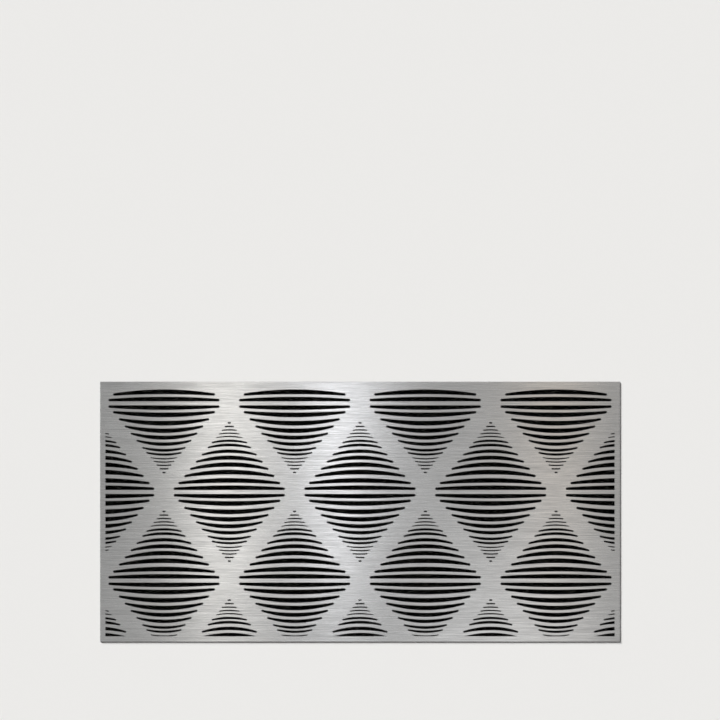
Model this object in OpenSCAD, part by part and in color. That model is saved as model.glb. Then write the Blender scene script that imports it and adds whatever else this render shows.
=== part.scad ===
// Decorative metal sheet, cut through with a lattice of diamonds made of slots.
// One flat piece of brushed steel that lies on its back, in millimetres.
// The origin is at the middle of the underside: X along the length, Y across, Z up.

/* [Sheet] */

// Length of the sheet, along X
sheet_length = 2000; // [1200:10:3000]
// Width of the sheet, along Y
sheet_width = 1000; // [600:10:1500]
// Thickness of the metal
sheet_thickness = 2; // [1:0.5:5]
// Width of the uncut border along all four edges
border = 20; // [10:1:60]

/* [Lattice] */

// Distance between the middles of neighbouring diamonds in a row
diamond_pitch = 503; // [440:1:620]
// Distance between the axes of neighbouring rows, which are half a pitch apart along X
row_pitch = 341; // [300:1:420]
// Distance from the upper edge of the sheet to the axis of the first row
first_axis = 83.5; // [40:0.5:200]
// Distance along a row between the end holes of neighbouring diamonds
row_gap = 65; // [30:1:120]
// Distance across the rows between the tips of diamonds in the same column
column_gap = 142; // [60:1:200]

/* [Slots] */

// Width of the metal bar along the axis of a diamond
axis_bar = 15; // [8:0.5:25]
// Width of the round ends of the first slot, beside the axis
axis_end_width = 10; // [7:0.1:12]
// Width of the round ends of the last slot before the fine ones
middle_end_width = 6; // [4:0.1:7]
// Width of the round ends of the first fine slot
fine_end_width = 3.2; // [2:0.1:5]
// Width of the round ends at the tip of the diamond
tip_end_width = 6; // [3:0.1:7]
// Height from the ends of the first slot to those of the second
first_step = 21.6; // [18:0.1:30]
// Height between the ends of the widely spaced slots
wide_step = 27.4; // [24:0.1:34]
// Number of wide steps, counted from the second slot
wide_steps = 5; // [1:1:8]
// Height between the ends of the slots that follow the wide ones
middle_step = 19; // [16:0.1:26]
// Number of middle steps, the last of which leads to the first fine slot
middle_steps = 2; // [0:1:4]
// Height between the ends of the closely spaced slots, which go on to the tip
fine_step = 14.2; // [12:0.1:18]
// Radius of a slot's inner edge halfway up a diamond
inner_bow_radius = 515; // [450:1:900]
// Radius of a slot's outer edge halfway up a diamond
outer_bow_radius = 357; // [300:1:440]
// Least length of a cut: a shorter slot, or rest of one at the border, is left out
shortest_cut = 8; // [6:0.5:20]
// Least width of a cut at the border, measured at the middle of the slot
narrowest_cut = 2; // [1:0.5:6]

/* [Colour] */

// Colour of the bare metal
metal_colour = "#B9B9B7";

/* [Hidden] */

window_length = sheet_length - 2 * border;
window_width = sheet_width - 2 * border;

// A diamond is measured to the centres of the round ends of its slots
half_length = (diamond_pitch - row_gap) / 2;
half_height = row_pitch - column_gap / 2;

// The sides of a band run into its round ends just inside their widest point
end_lap = 0.98;

// Slots are numbered from 0 beside the axis; no diamond can hold more than this
slot_limit = ceil(half_height / min(fine_step, middle_step, wide_step)) + 1;
first_fine = 1 + wide_steps + middle_steps;

// Rows are numbered from the first axis down, and columns from the middle outwards
first_row = -1;
last_row = ceil((sheet_width - first_axis + half_height) / row_pitch);
last_column = ceil(sheet_length / 2 / diamond_pitch) + 1;

function clamp(value, low, high) = min(max(value, low), high);

// Height of the end centres of a slot above the axis of its diamond
function end_height(slot) =
    axis_bar / 2 + axis_end_width / 2
    + (slot > 0 ? first_step : 0)
    + wide_step * clamp(slot - 1, 0, wide_steps)
    + middle_step * clamp(slot - 1 - wide_steps, 0, middle_steps)
    + fine_step * max(slot - 1 - wide_steps - middle_steps, 0);

// Distance of the end centres from the middle of the slot: they lie on the sides of the diamond
function end_reach(slot) = half_length * (1 - end_height(slot) / half_height);

// How far up a slot's ends are between two heights, from 0 to 1
function height_share(slot, low, high) = (end_height(slot) - low) / (high - low);

// Width of the round ends: it falls from the axis to the last slot before the fine ones, and
// grows from the first fine slot to the tip
function end_width(slot) =
    slot < first_fine
    ? axis_end_width + (middle_end_width - axis_end_width)
        * height_share(slot, end_height(0), end_height(first_fine - 1))
    : fine_end_width + (tip_end_width - fine_end_width)
        * height_share(slot, end_height(first_fine), half_height);

function end_radius(slot) = end_width(slot) / 2;

function band_radius(slot) = end_radius(slot) * end_lap;

// The edges bow more the further they are from the axis, and the outer one more than the inner
function inner_radius(slot) =
    inner_bow_radius * (half_height / 2) / (end_height(slot) - end_radius(slot) - axis_bar / 2);
function outer_radius(slot) =
    outer_bow_radius * (half_height / 2) / (end_height(slot) + end_radius(slot));

// Height of the centres of the arcs, each of which touches the rounds at both ends
function inner_centre(slot) =
    end_height(slot) - sqrt(pow(inner_radius(slot) + band_radius(slot), 2) - pow(end_reach(slot), 2));
function outer_centre(slot) =
    end_height(slot) - sqrt(pow(outer_radius(slot) - band_radius(slot), 2) - pow(end_reach(slot), 2));

// Heights of the two edges at the middle of a slot; the first slot has a straight inner edge
function inner_middle(slot) =
    slot == 0 ? end_height(0) - band_radius(0) : inner_centre(slot) + inner_radius(slot);
function outer_middle(slot) = outer_centre(slot) + outer_radius(slot);

// The point at a distance from a slot's right end, straight away from a centre on its midline
function beyond_end(slot, centre, distance) =
    let (end = [end_reach(slot), end_height(slot)])
    let (away = end - [0, centre])
    end + away * distance / norm(away);

// The lower right corner of the piece that a slot's band is cut from
function inner_corner(slot) =
    slot == 0
    ? [end_reach(0), inner_middle(0)]
    : beyond_end(slot, inner_centre(slot), -1.5 * band_radius(slot));

// The length or width of a cut that lies between two limits
function part_between(low, high, limit) = min(high, limit) - max(low, -limit);

// Whether enough of a slot lies inside the border to be cut; up is 1 above the axis, -1 below it
function is_cut(middle, axis, up, slot) =
    let (tip = end_reach(slot) + end_radius(slot))
    let (edges = [axis + up * inner_middle(slot), axis + up * outer_middle(slot)])
    end_reach(slot) > 0
    && 2 * tip >= shortest_cut
    && part_between(middle - tip, middle + tip, window_length / 2) >= shortest_cut
    && part_between(min(edges), max(edges), window_width / 2) >= narrowest_cut;

// The two-sided taper of a slot between its round ends
module slot_band(slot) {
    outer_corner = beyond_end(slot, outer_centre(slot), 1.5 * band_radius(slot));
    corner = inner_corner(slot);
    top = outer_middle(slot) + 2 * band_radius(slot);
    intersection() {
        difference() {
            translate([0, outer_centre(slot)]) circle(r = outer_radius(slot), $fn = 256);
            if (slot > 0)
                translate([0, inner_centre(slot)]) circle(r = inner_radius(slot), $fn = 256);
        }
        polygon([
            corner,
            [end_reach(slot), end_height(slot)],
            outer_corner,
            [outer_corner.x, top],
            [-outer_corner.x, top],
            [-outer_corner.x, outer_corner.y],
            [-end_reach(slot), end_height(slot)],
            [-corner.x, corner.y],
        ]);
    }
}

// One slot above the axis of a diamond whose middle is at the origin
module slot(slot) {
    slot_band(slot);
    for (side = [-1, 1])
        translate([side * end_reach(slot), end_height(slot)])
            circle(r = end_radius(slot), $fn = 48);
}

// The slots of one diamond that are cut: both halves, from the axis to the tips
module diamond(middle, axis) {
    for (up = [1, -1], index = [0 : slot_limit])
        if (is_cut(middle, axis, up, index))
            translate([middle, axis]) scale([1, up]) slot(index);
}

// All rows, of which every second one is moved along by half a pitch
module lattice() {
    for (row = [first_row : last_row], column = [-last_column : last_column])
        diamond(
            (column + (row % 2 == 0 ? 0.5 : 0)) * diamond_pitch,
            sheet_width / 2 - first_axis - row * row_pitch
        );
}

module perforated_sheet() {
    color(metal_colour)
        linear_extrude(sheet_thickness)
            difference() {
                square([sheet_length, sheet_width], center = true);
                intersection() {
                    square([window_length, window_width], center = true);
                    lattice();
                }
            }
}

perforated_sheet();
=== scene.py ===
"""Shows a decorative sheet of brushed steel lying on a pale studio floor, seen from straight above."""

from __future__ import annotations

import logging
import math
from dataclasses import dataclass
from dataclasses import field
from enum import Enum
from typing import Any

import bpy
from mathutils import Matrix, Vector

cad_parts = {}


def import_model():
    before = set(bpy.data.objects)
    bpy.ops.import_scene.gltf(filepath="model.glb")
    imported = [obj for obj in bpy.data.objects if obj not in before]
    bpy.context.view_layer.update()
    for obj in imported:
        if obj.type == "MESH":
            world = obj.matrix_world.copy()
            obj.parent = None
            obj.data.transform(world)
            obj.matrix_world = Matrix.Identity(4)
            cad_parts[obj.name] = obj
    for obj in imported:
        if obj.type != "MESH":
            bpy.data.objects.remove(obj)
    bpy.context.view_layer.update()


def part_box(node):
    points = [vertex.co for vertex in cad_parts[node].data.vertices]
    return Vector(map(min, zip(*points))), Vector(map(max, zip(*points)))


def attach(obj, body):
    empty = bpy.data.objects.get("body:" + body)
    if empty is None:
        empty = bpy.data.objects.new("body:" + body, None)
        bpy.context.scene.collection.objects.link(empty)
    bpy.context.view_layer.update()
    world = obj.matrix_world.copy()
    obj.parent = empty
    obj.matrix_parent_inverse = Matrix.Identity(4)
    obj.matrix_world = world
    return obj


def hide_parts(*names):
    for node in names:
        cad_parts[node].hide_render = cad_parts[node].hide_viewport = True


log = logging.getLogger("decorative_sheet")

MM = 0.001


def linear(hex_colour: str) -> tuple[float, float, float, float]:
    """Turns an sRGB hex colour into the linear one that shaders take.

    Args:
        hex_colour: Six hex digits after a hash.

    Returns:
        Linear red, green and blue, and an alpha of 1.
    """
    channels = [int(hex_colour[i : i + 2], 16) / 255 for i in (1, 3, 5)]
    red, green, blue = [c / 12.92 if c <= 0.04045 else ((c + 0.055) / 1.055) ** 2.4 for c in channels]
    return (red, green, blue, 1.0)


def add_node(tree: bpy.types.NodeTree, kind: str, settings: dict[str, Any] | None = None,
             inputs: dict[str | int, Any] | None = None) -> bpy.types.Node:
    """Adds a node with its settings, and gives each input a value or a link.

    Args:
        tree: The node tree that the node goes into.
        kind: The node's type.
        settings: Attributes of the node itself.
        inputs: Values, or output sockets to link, by the input's name or number.

    Returns:
        The new node.
    """
    node = tree.nodes.new(kind)
    for name, value in (settings or {}).items():
        setattr(node, name, value)
    for name, value in (inputs or {}).items():
        if isinstance(value, bpy.types.NodeSocket):
            tree.links.new(value, node.inputs[name])
        else:
            node.inputs[name].default_value = value
    return node


def new_material(name: str) -> tuple[bpy.types.Material, bpy.types.NodeTree]:
    """Makes an empty node material.

    Args:
        name: The material's name.

    Returns:
        The material and its node tree.
    """
    material = bpy.data.materials.new(name)
    material.use_nodes = True
    material.node_tree.nodes.clear()
    return material, material.node_tree


class Grain(Enum):
    """The way that the sheet was drawn under the brush."""

    ALONG_LENGTH = (1.0, 0.0)
    ACROSS = (0.0, 1.0)

    def spread(self) -> tuple[float, float, float]:
        """The direction in which the brush marks spread a reflection, across the marks."""
        along_x, along_y = self.value
        return (along_y, along_x, 0.0)


@dataclass(frozen=True)
class BrushedSteel:
    """Stainless steel, belt brushed along its length and then cut.

    The brush leaves long fine marks, which draw a reflection out across them into soft bands. In the
    colour they show as
    faint lighter and darker streaks: partly the brushing's random tone, partly painted shade and glint of
    its grooves. The cut walls are duller and a little darker.
    """

    name: str = "brushed_stainless_steel"
    # The streaks run between these two colours: partly the brushing's random tone, partly painted shade
    # and glint of its fine grooves.
    light: str = "#CDCDCD"
    dark: str = "#A2A2A2"
    wall: str = "#6A6968"
    grain: Grain = Grain.ALONG_LENGTH
    roughness: float = 0.28
    roughness_change: float = 0.03
    wall_roughness: float = 0.55
    anisotropy: float = 0.75
    # Lengths and spacings in millimetres. Real marks are a fraction of a millimetre apart:
    # they are drawn coarser, to show at all.
    short_mark: tuple[float, float] = (70.0, 2.2)
    long_mark: tuple[float, float] = (260.0, 2.6)
    pass_mark: tuple[float, float] = (900.0, 25.0)
    mark_depth: float = 0.01
    # How much of the pattern the long marks and the belt's passes make up, and the span of the
    # pattern that runs from the dark colour to the light one.
    long_share: float = 0.5
    pass_share: float = 0.12
    tone_and_glint_span: tuple[float, float] = (0.33, 0.67)
    # A surface whose normal points up or down by less than this is a cut wall.
    wall_limit: float = 0.5

    def marks(self, tree: bpy.types.NodeTree, point: bpy.types.NodeSocket,
              size: tuple[float, float]) -> bpy.types.NodeSocket:
        """Draws marks that are long in the direction of the grain.

        Args:
            tree: The material's nodes.
            point: Object coordinates, in metres.
            size: Length of a mark and distance between marks, in millimetres.

        Returns:
            The marks as a number from 0 to 1.
        """
        length, spacing = (1 / (side * MM) for side in size)
        scale = (length, spacing, 1.0) if self.grain is Grain.ALONG_LENGTH else (spacing, length, 1.0)
        stretched = add_node(tree, "ShaderNodeMapping", None, {"Vector": point, "Scale": scale})
        noise = add_node(tree, "ShaderNodeTexNoise", None,
                         {"Vector": stretched.outputs["Vector"], "Scale": 1.0, "Detail": 1.0})
        return noise.outputs["Fac"]

    def material(self) -> bpy.types.Material:
        """Builds the material: streaked colour that is partly painted shade and glint, streaked gloss,
        marks in relief, and duller walls.

        Returns:
            The material.
        """
        material, tree = new_material(self.name)
        place = add_node(tree, "ShaderNodeTexCoord")
        point = place.outputs["Object"]
        short = self.marks(tree, point, self.short_mark)
        long = self.marks(tree, point, self.long_mark)
        broad = self.marks(tree, point, self.pass_mark)
        fine = add_node(tree, "ShaderNodeMix", {"data_type": "FLOAT"},
                        {"Factor": self.long_share, "A": short, "B": long})
        brushed = add_node(tree, "ShaderNodeMix", {"data_type": "FLOAT"},
                           {"Factor": self.pass_share, "A": fine.outputs["Result"], "B": broad})
        darkest, lightest = self.tone_and_glint_span
        tone_and_glint = add_node(tree, "ShaderNodeMapRange", {"clamp": True},
                        {"Value": brushed.outputs["Result"], "From Min": darkest, "From Max": lightest})
        # The face's colour carries painted shade and glint of the brush marks, mixed with their random
        # tone.
        face = add_node(tree, "ShaderNodeMix", {"data_type": "RGBA"},
                        {"Factor": tone_and_glint.outputs["Result"], "A": linear(self.dark),
                         "B": linear(self.light)})
        normal = add_node(tree, "ShaderNodeSeparateXYZ", None, {"Vector": place.outputs["Normal"]})
        upright = add_node(tree, "ShaderNodeMath", {"operation": "ABSOLUTE"}, {0: normal.outputs["Z"]})
        is_wall = add_node(tree, "ShaderNodeMath", {"operation": "LESS_THAN"},
                           {0: upright.outputs[0], 1: self.wall_limit})
        colour = add_node(tree, "ShaderNodeMix", {"data_type": "RGBA"},
                          {"Factor": is_wall.outputs[0], "A": face.outputs["Result"],
                           "B": linear(self.wall)})
        gloss = add_node(tree, "ShaderNodeMapRange", None,
                         {"Value": brushed.outputs["Result"], "From Min": darkest, "From Max": lightest,
                          "To Min": self.roughness + self.roughness_change,
                          "To Max": self.roughness - self.roughness_change})
        rough = add_node(tree, "ShaderNodeMix", {"data_type": "FLOAT"},
                         {"Factor": is_wall.outputs[0], "A": gloss.outputs["Result"],
                          "B": self.wall_roughness})
        relief = add_node(tree, "ShaderNodeBump", None,
                          {"Strength": 1.0, "Distance": self.mark_depth * MM,
                           "Height": fine.outputs["Result"]})
        spread = add_node(tree, "ShaderNodeCombineXYZ", None, dict(zip("XYZ", self.grain.spread())))
        steel = add_node(tree, "ShaderNodeBsdfPrincipled", None,
                         {"Base Color": colour.outputs["Result"], "Metallic": 1.0,
                          "Roughness": rough.outputs["Result"], "Anisotropic": self.anisotropy,
                          "Tangent": spread.outputs["Vector"], "Normal": relief.outputs["Normal"]})
        add_node(tree, "ShaderNodeOutputMaterial", None, {"Surface": steel.outputs["BSDF"]})
        return material


@dataclass(frozen=True)
class PaleFloor:
    """A plain floor of pale matt board."""

    name: str = "pale_matt_board"
    colour: str = "#F1F0EE"
    roughness: float = 0.85
    specular: float = 0.04

    def material(self) -> bpy.types.Material:
        """Builds the floor's plain material.

        Returns:
            The material.
        """
        material, tree = new_material(self.name)
        board = add_node(tree, "ShaderNodeBsdfPrincipled", None,
                         {"Base Color": linear(self.colour), "Roughness": self.roughness,
                          "Specular IOR Level": self.specular})
        add_node(tree, "ShaderNodeOutputMaterial", None, {"Surface": board.outputs["BSDF"]})
        return material


@dataclass(frozen=True)
class DiamondLattice:
    """The slots of the sheet: rows of diamonds, every second row moved along by half a pitch.

    A diamond is a stack of bowed slots on both sides of its axis. Slots are numbered from 0 beside
    the axis, and their round ends lie on the sides of the diamond. All sizes are in millimetres.
    """

    length: float = 2000.0
    width: float = 1000.0
    border: float = 20.0
    diamond_pitch: float = 503.0
    row_pitch: float = 341.0
    first_axis: float = 83.5
    row_gap: float = 65.0
    column_gap: float = 142.0
    axis_bar: float = 15.0
    axis_end_width: float = 10.0
    middle_end_width: float = 6.0
    fine_end_width: float = 3.2
    tip_end_width: float = 6.0
    first_step: float = 21.6
    wide_step: float = 27.4
    wide_steps: int = 5
    middle_step: float = 19.0
    middle_steps: int = 2
    fine_step: float = 14.2
    inner_bow_radius: float = 515.0
    outer_bow_radius: float = 357.0
    # A slot, or the rest of one at the border, that is shorter or narrower than this is left out.
    shortest_cut: float = 8.0
    narrowest_cut: float = 2.0
    # The long edges run into the round ends just inside their widest point.
    end_lap: float = 0.98
    # A straight step on an arc leaves it by no more than this.
    arc_error: float = 0.05

    @property
    def half_length(self) -> float:
        """Half the length of a diamond, to the centres of its round ends."""
        return (self.diamond_pitch - self.row_gap) / 2

    @property
    def half_height(self) -> float:
        """Half the height of a diamond, from its axis to its tip."""
        return self.row_pitch - self.column_gap / 2

    @property
    def first_fine(self) -> int:
        """The number of the first fine slot."""
        return 1 + self.wide_steps + self.middle_steps

    def end_height(self, slot: int) -> float:
        """Height of a slot's end centres above the axis.

        Args:
            slot: The slot's number.

        Returns:
            The height, in millimetres.
        """
        wide = min(max(slot - 1, 0), self.wide_steps)
        middle = min(max(slot - 1 - self.wide_steps, 0), self.middle_steps)
        fine = max(slot - self.first_fine, 0)
        first = self.first_step if slot > 0 else 0.0
        start = (self.axis_bar + self.axis_end_width) / 2
        return start + first + wide * self.wide_step + middle * self.middle_step + fine * self.fine_step

    def end_reach(self, slot: int) -> float:
        """Distance of a slot's end centres from its middle."""
        return self.half_length * (1 - self.end_height(slot) / self.half_height)

    def end_radius(self, slot: int) -> float:
        """Radius of a slot's round ends, which narrow up to the fine slots and widen again to the tip.

        Args:
            slot: The slot's number.

        Returns:
            The radius, in millimetres.
        """
        if slot < self.first_fine:
            low, high = self.end_height(0), self.end_height(self.first_fine - 1)
            near, far = self.axis_end_width, self.middle_end_width
        else:
            low, high = self.end_height(self.first_fine), self.half_height
            near, far = self.fine_end_width, self.tip_end_width
        return (near + (far - near) * (self.end_height(slot) - low) / (high - low)) / 2

    def arc(self, centre: tuple[float, float], radius: float, start: float, stop: float) -> list[Vector]:
        """Steps along an arc.

        Args:
            centre: The arc's centre.
            radius: Its radius.
            start: Angle of its first point, in radians.
            stop: Angle of its last point, in radians.

        Returns:
            Points along the arc, with both its ends.
        """
        step = 2 * math.acos(1 - self.arc_error / radius)
        count = max(math.ceil(abs(stop - start) / step), 2)
        angles = [start + (stop - start) * i / count for i in range(count + 1)]
        x, y = centre
        return [Vector((x + radius * math.cos(a), y + radius * math.sin(a))) for a in angles]

    def bow(self, slot: int, is_outer: bool) -> tuple[float, float, float]:
        """Finds the arc of one long edge of a slot, which touches the rounds at both ends.

        Args:
            slot: The slot's number.
            is_outer: Whether it is the edge away from the axis.

        Returns:
            The height of the arc's centre, its radius, and the angle at which it meets the right end.
        """
        height, reach, end = self.end_height(slot), self.end_reach(slot), self.end_radius(slot)
        if is_outer:
            radius = self.outer_bow_radius * self.half_height / 2 / (height + end)
            distance = radius - end * self.end_lap
        else:
            radius = self.inner_bow_radius * self.half_height / 2 / (height - end - self.axis_bar / 2)
            distance = radius + end * self.end_lap
        centre = height - math.sqrt(distance**2 - reach**2)
        return centre, radius, math.atan2(height - centre, reach)

    def outline(self, slot: int) -> list[Vector]:
        """Draws a slot above the axis of a diamond whose middle is at the origin.

        Args:
            slot: The slot's number. Slot 0 has a straight edge along the axis.

        Returns:
            The points round the slot.
        """
        height, reach = self.end_height(slot), self.end_reach(slot)
        end = self.end_radius(slot) * self.end_lap
        top, outer, outer_turn = self.bow(slot, True)
        inner_turn, inner_edge = math.pi / 2, []
        if slot > 0:
            low, inner, inner_turn = self.bow(slot, False)
            inner_edge = self.arc((0.0, low), inner, math.pi - inner_turn, inner_turn)[1:-1]
        right = self.arc((reach, height), end, inner_turn - math.pi, outer_turn)
        upper = self.arc((0.0, top), outer, outer_turn, math.pi - outer_turn)[1:-1]
        left = self.arc((-reach, height), end, math.pi - outer_turn, 2 * math.pi - inner_turn)
        return right + upper + left + inner_edge

    def clipped(self, points: list[Vector]) -> list[Vector]:
        """Cuts an outline off at the border.

        Args:
            points: The points round a slot.

        Returns:
            The points round what is left of it inside the border.
        """
        limits = (self.length / 2 - self.border, self.width / 2 - self.border)
        for axis, side in ((0, 1), (0, -1), (1, 1), (1, -1)):
            kept = []
            for here, after in zip(points, points[1:] + points[:1]):
                room, next_room = (limits[axis] - side * p[axis] for p in (here, after))
                if room >= 0:
                    kept.append(here)
                if room * next_room < 0:
                    kept.append(here.lerp(after, room / (room - next_room)))
            points = kept
        return points

    def is_cut(self, middle: float, axis: float, up: int, slot: int) -> bool:
        """Tells whether enough of a slot lies inside the border to be cut.

        Args:
            middle: Place of the diamond's middle along the sheet.
            axis: Place of the diamond's axis across the sheet.
            up: 1 for a slot above the axis, -1 for one below it.
            slot: The slot's number.

        Returns:
            True if the slot is cut.
        """
        reach, end = self.end_reach(slot), self.end_radius(slot)
        if reach <= 0 or 2 * (reach + end) < self.shortest_cut:
            return False
        top, outer, _ = self.bow(slot, True)
        inner_edge = self.end_height(0) - end * self.end_lap
        if slot > 0:
            low, inner, _ = self.bow(slot, False)
            inner_edge = low + inner
        edges = sorted((axis + up * inner_edge, axis + up * (top + outer)))
        wide, high = self.length / 2 - self.border, self.width / 2 - self.border
        inside_length = min(middle + reach + end, wide) - max(middle - reach - end, -wide)
        inside_width = min(edges[1], high) - max(edges[0], -high)
        return inside_length >= self.shortest_cut and inside_width >= self.narrowest_cut

    def outlines(self) -> list[list[Vector]]:
        """Draws every slot of the sheet.

        Returns:
            The points round each slot, from the middle of the sheet.
        """
        found = []
        # No diamond can hold more slots than this.
        slot_limit = math.ceil(self.half_height / self.fine_step) + 2
        shapes = [self.outline(slot) for slot in range(slot_limit) if self.end_reach(slot) > 0]
        # Rows are counted from the first axis down. A row beyond an edge may still reach into the sheet.
        first_row = -1
        last_row = math.ceil((self.width - self.first_axis + self.half_height) / self.row_pitch)
        last_column = math.ceil(self.length / 2 / self.diamond_pitch) + 1
        for row in range(first_row, last_row + 1):
            axis = self.width / 2 - self.first_axis - row * self.row_pitch
            for column in range(-last_column, last_column + 1):
                middle = (column + (0.5 if row % 2 == 0 else 0.0)) * self.diamond_pitch
                for up in (1, -1):
                    for slot, shape in enumerate(shapes):
                        if self.is_cut(middle, axis, up, slot):
                            moved = [Vector((middle + p.x, axis + up * p.y)) for p in shape]
                            found.append(self.clipped(moved))
        return found


@dataclass
class PerforatedSheet:
    """The sheet: cut by the lattice's outlines, with all its sharp edges lightly broken.

    Its sizes are in millimetres, and places on its map are shares of the map's side.
    """

    node: str = "perforated_sheet"
    name: str = "brushed_sheet"
    slot: str = "brushed_steel"
    body: str = "root"
    thickness: float = 2.0
    edge_break: float = 0.25
    # Points of the mesh that are closer than this are made one.
    weld: float = 0.01
    # Faces that meet at less than this many degrees are shaded as one.
    smooth_angle: float = 30.0
    # Both faces lie side by side on the map, with a margin beyond the ends of the sheet.
    map_margin: float = 8.0
    upper_column: float = 0.25
    under_column: float = 0.75
    map_middle: float = 0.5
    # A wall is as wide on the map as this share of its height.
    map_fold: float = 0.75
    # A face whose normal points lower than this is the underside.
    under_limit: float = -0.9
    lattice: DiamondLattice = field(default_factory=DiamondLattice)
    finish: BrushedSteel = field(default_factory=BrushedSteel)

    def draw(self) -> bpy.types.Object:
        """Draws the edges of the sheet and its slots as one flat filled curve, in millimetres.

        Returns:
            The curve's object.
        """
        x, y = self.lattice.length / 2, self.lattice.width / 2
        corners = [Vector(corner) for corner in ((-x, -y), (x, -y), (x, y), (-x, y))]
        curve = bpy.data.curves.new(self.name, "CURVE")
        curve.dimensions = "2D"
        curve.fill_mode = "BOTH"
        for outline in [corners] + self.lattice.outlines():
            spline = curve.splines.new("POLY")
            spline.points.add(len(outline) - 1)
            for point, place in zip(spline.points, outline):
                point.co = (place.x, place.y, 0.0, 1.0)
            spline.use_cyclic_u = True
        curve.extrude = self.thickness / 2 - self.edge_break
        curve.bevel_depth = self.edge_break
        curve.bevel_resolution = 0
        curve.offset = -self.edge_break
        drawn = bpy.data.objects.new(self.name, curve)
        bpy.context.scene.collection.objects.link(drawn)
        return drawn

    def build(self) -> bpy.types.Object:
        """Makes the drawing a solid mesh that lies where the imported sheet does.

        Returns:
            The sheet's object.
        """
        sheet = self.draw()
        bpy.ops.object.select_all(action="DESELECT")
        sheet.select_set(True)
        bpy.context.view_layer.objects.active = sheet
        bpy.ops.object.convert(target="MESH")
        sheet = bpy.context.active_object
        sheet.scale = (MM, MM, MM)
        sheet.location.z = self.thickness / 2 * MM
        bpy.ops.object.transform_apply(location=True, rotation=True, scale=True)
        bpy.ops.object.mode_set(mode="EDIT")
        bpy.ops.mesh.select_all(action="SELECT")
        bpy.ops.mesh.remove_doubles(threshold=self.weld * MM)
        bpy.ops.mesh.normals_make_consistent(inside=False)
        bpy.ops.mesh.select_all(action="DESELECT")
        bpy.ops.mesh.select_face_by_sides(number=3, type="EQUAL", extend=False)
        bpy.ops.mesh.beautify_fill(angle_limit=math.pi)
        bpy.ops.object.mode_set(mode="OBJECT")
        bpy.ops.object.shade_smooth_by_angle(angle=math.radians(self.smooth_angle))
        self.lay_out(sheet)
        return sheet

    def lay_out(self, sheet: bpy.types.Object) -> None:
        """Lays both faces out flat, side by side, on a map of their own.

        The map's first axis runs across the brush marks, the way that they spread a reflection. The walls
        fold outwards from the upper face, into the openings, so that they have some width.

        Args:
            sheet: The sheet's object.
        """
        mesh = sheet.data
        for drawn in list(mesh.uv_layers):
            mesh.uv_layers.remove(drawn)
        flat = mesh.uv_layers.new(name="OFBake")
        span = (self.lattice.length + 2 * self.map_margin) * MM
        for face in mesh.polygons:
            is_under = face.normal.z < self.under_limit
            for loop in face.loop_indices:
                vertex = mesh.vertices[mesh.loops[loop].vertex_index]
                out = vertex.normal.to_2d().normalized()
                fold = 0.0 if is_under else self.map_fold * (self.thickness * MM - vertex.co.z)
                x, y = (vertex.co.to_2d() + fold * out) / span
                if is_under:
                    flat.data[loop].uv = (self.under_column - y, self.map_middle - x)
                else:
                    flat.data[loop].uv = (self.upper_column - y, self.map_middle + x)

    def dress(self, sheet: bpy.types.Object) -> None:
        """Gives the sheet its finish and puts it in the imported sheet's place.

        Args:
            sheet: The sheet's object.
        """
        sheet.data.materials.clear()
        sheet.data.materials.append(self.finish.material())
        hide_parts(self.node)
        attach(sheet, self.body)


@dataclass(frozen=True)
class Reflector:
    """A soft lit panel that shows in the brushed metal as a broad band.

    Its place and size are in metres. Its brightness is that of its face, whatever the size.
    """

    name: str
    place: tuple[float, float, float]
    size: tuple[float, float]
    brightness: float
    colour: str = "#FFFFFF"
    target: tuple[float, float, float] | None = None

    def build(self) -> None:
        """Hangs the panel, face down or turned to its target, equally bright over its whole face."""
        panel = bpy.data.lights.new(self.name, "AREA")
        panel.shape = "RECTANGLE"
        panel.size, panel.size_y = self.size
        panel.energy = self.brightness * math.pi * self.size[0] * self.size[1]
        panel.color = linear(self.colour)[:3]
        hung = bpy.data.objects.new(self.name, panel)
        hung.location = self.place
        if self.target:
            aim = Vector(self.target) - hung.location
            hung.rotation_euler = aim.to_track_quat("-Z", "Y").to_euler()
        hung.visible_diffuse = False
        bpy.context.scene.collection.objects.link(hung)


@dataclass(frozen=True)
class SideBoxes:
    """A ring of panels, which give the sheet its bands when it is seen from the sides.

    Lengths are in metres, and the angle of the first panel is in degrees.
    """

    count: int = 6
    first: float = 20.0
    radius: float = 7.0
    height: float = 3.0
    size: tuple[float, float] = (2.4, 3.6)
    brightness: float = 0.8

    def build(self) -> None:
        """Sets the panels up at equal angles, each turned to the sheet."""
        for number in range(self.count):
            turn = math.radians(self.first + 360 * number / self.count)
            place = (self.radius * math.cos(turn), self.radius * math.sin(turn), self.height)
            name = f"side_box_{number + 1}"
            Reflector(name, place, self.size, self.brightness, target=(0.0, 0.0, 0.0)).build()


@dataclass(frozen=True)
class SoftLamp:
    """A wide far lamp on one side, which lights the floor and gives the sheet a thin soft shadow.

    Its angles are in degrees, and so is its width as seen from the sheet.
    """

    name: str = "soft_lamp"
    azimuth: float = 130.0
    elevation: float = 12.0
    width: float = 12.0
    distance: float = 10.0
    floor_light: float = 0.8

    def build(self) -> None:
        """Makes the lamp at the strength that gives the level floor its light."""
        lamp = bpy.data.lights.new(self.name, "SUN")
        low = math.radians(self.elevation)
        lamp.energy = self.floor_light * math.pi / math.sin(low)
        lamp.angle = math.radians(self.width)
        turn = math.radians(self.azimuth)
        source = Vector((math.cos(turn) * math.cos(low), math.sin(turn) * math.cos(low), math.sin(low)))
        lit = bpy.data.objects.new(self.name, lamp)
        lit.location = self.distance * source
        lit.rotation_euler = (-source).to_track_quat("-Z", "Y").to_euler()
        lit.visible_glossy = False
        bpy.context.scene.collection.objects.link(lit)


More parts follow.
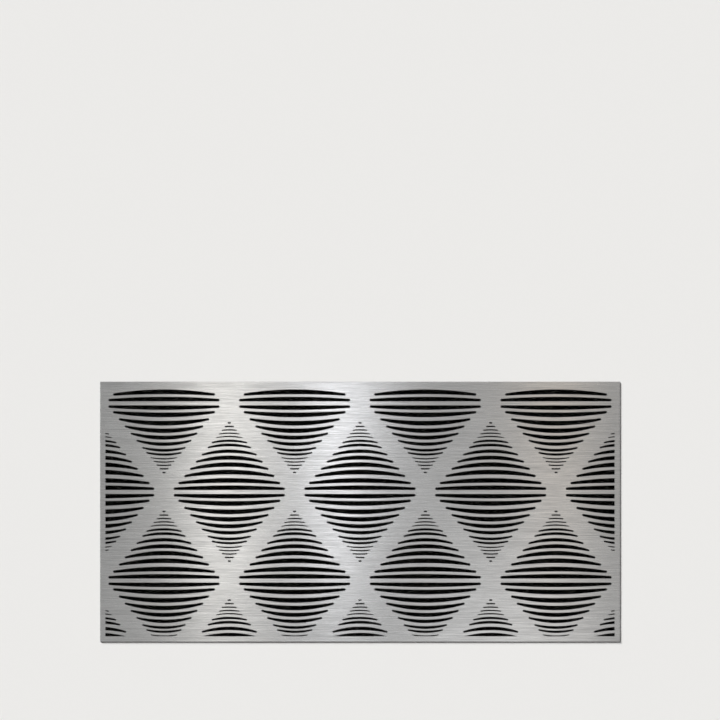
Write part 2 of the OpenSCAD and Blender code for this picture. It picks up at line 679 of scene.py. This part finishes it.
@dataclass(frozen=True)
class ShadeCard:
    """An unseen card that keeps the light off the floor under the sheet, so that the slots show dark."""

    name: str = "shade_card"
    inset: float = 10 * MM
    depth: float = 0.1 * MM

    def build(self, low: Vector, high: Vector) -> None:
        """Lays the card just under the sheet, inside its outline.

        Args:
            low: The lowest corner of the sheet, in metres.
            high: Its highest corner.
        """
        middle = (low + high) / 2
        bpy.ops.mesh.primitive_plane_add(size=1.0, location=(middle.x, middle.y, low.z - self.depth))
        card = bpy.context.active_object
        card.name = self.name
        card.scale = (high.x - low.x - 2 * self.inset, high.y - low.y - 2 * self.inset, 1.0)
        card.visible_camera = False
        card.visible_glossy = False


@dataclass
class Studio:
    """The floor, the light and the camera.

    Lengths are in metres, and those of the lens and its sensor in millimetres.
    """

    floor: PaleFloor = field(default_factory=PaleFloor)
    floor_size: float = 200.0
    floor_depth: float = 0.2 * MM
    surround: str = "#FFFFFE"
    # The room is about as pale as the floor, and darkens overhead between two heights, where 0 is the
    # horizon and 1 is straight up.
    surround_low: float = 0.84
    surround_high: float = 0.5
    surround_span: tuple[float, float] = (0.6, 0.92)
    # The light that it gives the floor, beside the lamp.
    surround_fill: float = 0.15
    # In the photograph a pixel is this much of the sheet's face, and the sheet's middle lies this many
    # pixels below the middle of the frame.
    pixel: float = 3.848 * MM
    frame: float = 720.0
    middle_down: float = 151.6
    lens: float = 50.0
    sensor: float = 36.0
    sight: float = 200.0
    shade: ShadeCard = field(default_factory=ShadeCard)
    lamp: SoftLamp = field(default_factory=SoftLamp)
    sides: SideBoxes = field(default_factory=SideBoxes)
    reflectors: tuple[Reflector, ...] = (
        Reflector("left_strip", (-1.2, 0.6, 5.0), (0.5, 5.0), 2.15, "#FFFCF6"),
        Reflector("middle_strip", (-0.2, 0.9, 5.0), (0.4, 4.6), 3.05, "#FAFBFF"),
        Reflector("right_strip", (1.3, -2.6, 5.0), (1.5, 2.8), 0.85),
        Reflector("warm_strip", (1.72, 0.6, 5.0), (0.36, 5.0), 0.85, "#FFE8CC"),
    )

    def build_floor(self) -> None:
        """Lays the floor under the sheet."""
        bpy.ops.object.select_all(action="DESELECT")
        bpy.ops.mesh.primitive_plane_add(size=self.floor_size, location=(0.0, 0.0, -self.floor_depth))
        floor = bpy.context.active_object
        floor.name = "floor"
        floor.data.materials.append(self.floor.material())

    def build_surround(self) -> None:
        """Gives the room a pale look, darker overhead, and an even light from all sides."""
        world = bpy.data.worlds.new("studio")
        world.use_nodes = True
        tree = world.node_tree
        tree.nodes.clear()
        ray = add_node(tree, "ShaderNodeLightPath")
        mirrored = add_node(tree, "ShaderNodeMath", {"operation": "MAXIMUM"},
                            {0: ray.outputs["Is Glossy Ray"], 1: ray.outputs["Is Transmission Ray"]})
        seen = add_node(tree, "ShaderNodeMath", {"operation": "MAXIMUM"},
                        {0: ray.outputs["Is Camera Ray"], 1: mirrored.outputs[0]})
        look = add_node(tree, "ShaderNodeTexCoord")
        up = add_node(tree, "ShaderNodeSeparateXYZ", None, {"Vector": look.outputs["Generated"]})
        first, second = self.surround_span
        shade = add_node(tree, "ShaderNodeMapRange", {"clamp": True},
                         {"Value": up.outputs["Z"], "From Min": first, "From Max": second,
                          "To Min": self.surround_low, "To Max": self.surround_high})
        level = add_node(tree, "ShaderNodeMix", {"data_type": "FLOAT"},
                         {"Factor": seen.outputs[0], "A": self.surround_fill,
                          "B": shade.outputs["Result"]})
        glow = add_node(tree, "ShaderNodeBackground", None,
                        {"Color": linear(self.surround), "Strength": level.outputs["Result"]})
        add_node(tree, "ShaderNodeOutputWorld", None, {"Surface": glow.outputs["Background"]})
        bpy.context.scene.world = world

    def build_camera(self, face: float) -> None:
        """Hangs the camera straight above the floor, with the sheet low in the frame.

        Args:
            face: Height of the sheet's upper face, in metres.
        """
        lens = bpy.data.cameras.new("camera")
        lens.lens = self.lens
        lens.sensor_width = self.sensor
        lens.clip_end = self.sight
        camera = bpy.data.objects.new("camera", lens)
        height = self.frame * self.pixel * self.lens / self.sensor
        camera.location = (0.0, self.middle_down * self.pixel, face + height)
        bpy.context.scene.collection.objects.link(camera)
        bpy.context.scene.camera = camera

    def build(self, low: Vector, high: Vector) -> None:
        """Builds the floor, its shade, the room light, the lamps and the camera.

        Args:
            low: The lowest corner of the sheet, in metres.
            high: Its highest corner.
        """
        self.build_floor()
        self.shade.build(low, high)
        self.build_surround()
        self.lamp.build()
        self.sides.build()
        for strip in self.reflectors:
            strip.build()
        self.build_camera(high.z)
        bpy.context.scene.view_settings.view_transform = "Standard"


def main() -> None:
    """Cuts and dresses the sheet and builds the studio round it."""
    logging.basicConfig(level=logging.INFO, format="%(name)s: %(message)s")
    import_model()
    sheet = PerforatedSheet()
    built = sheet.build()
    sheet.dress(built)
    log.info("cut %s with %d faces, in %s", built.name, len(built.data.polygons), sheet.finish.name)
    low, high = (Vector(corner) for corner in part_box(sheet.node))
    Studio().build(low, high)
    log.info("built the studio, with the sheet's face at %.4f m", high.z)


if __name__ == "__main__":
    main()
